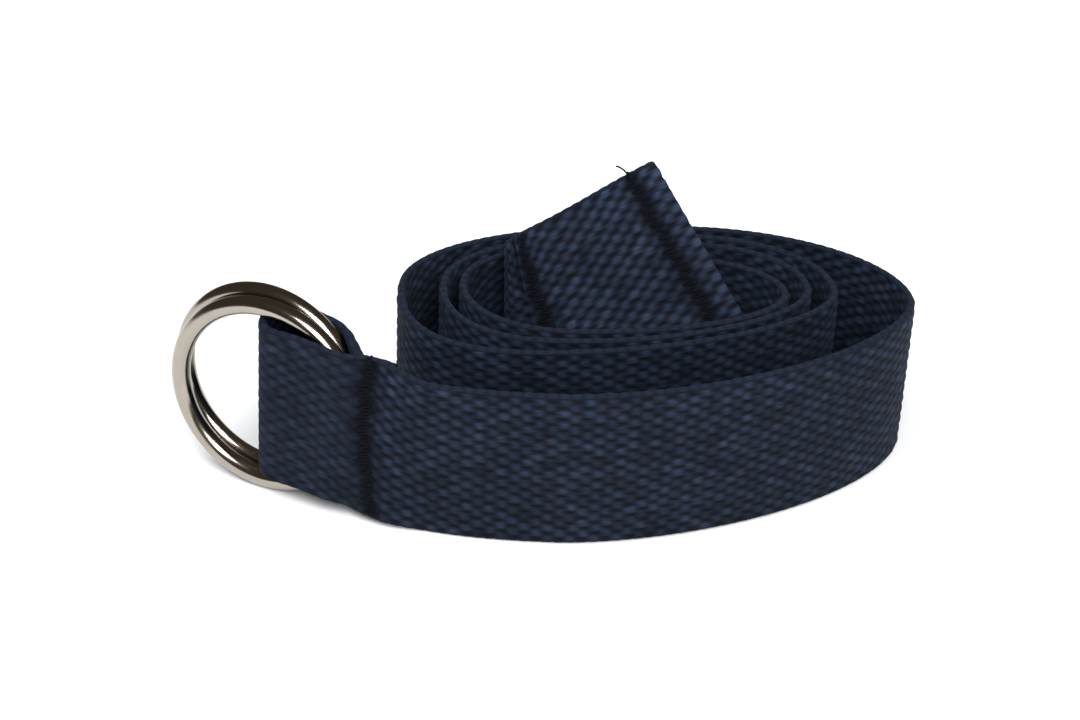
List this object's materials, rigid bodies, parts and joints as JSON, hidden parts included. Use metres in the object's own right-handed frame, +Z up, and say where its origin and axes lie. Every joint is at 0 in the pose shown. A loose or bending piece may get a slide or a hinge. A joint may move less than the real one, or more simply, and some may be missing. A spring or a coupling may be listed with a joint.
{
  "type": "double ring belt",
  "caption": "Woven cotton webbing belt, loosely coiled on its edge, with a pair of round metal rings in a sewn loop at one end and a hemmed free end rising from the coil.",
  "frame": {"origin": "below the middle of the belt's overall box, in the plane of the table it stands on", "axes": "+Z up, along the webbing's width; +X along the coil, away from the rings; -Y the front, where the strap runs outermost from the rings"},
  "size_m": [0.1659, 0.078, 0.0625],
  "materials": {
    "webbing": "matt navy blue plain-woven cotton webbing",
    "ring_metal": "polished nickel plating with a warm tone"
  },
  "bodies": {
    "strap": {"strap": "webbing"},
    "ring_front": {"ring_front": "ring_metal"},
    "ring_back": {"ring_back": "ring_metal"}
  },
  "joints": [
    {"name": "ring_front_turn", "type": "hinge", "parent": "strap", "child": "ring_front", "pos_m": [-0.06037, -0.02011, 0.02357], "axis": [-0.3781, -0.9243, 0.0523], "continuous": true},
    {"name": "ring_back_turn", "type": "hinge", "parent": "strap", "child": "ring_back", "pos_m": [-0.06051, -0.01429, 0.02357], "axis": [-0.4022, -0.9141, 0.0523], "continuous": true}
  ]
}
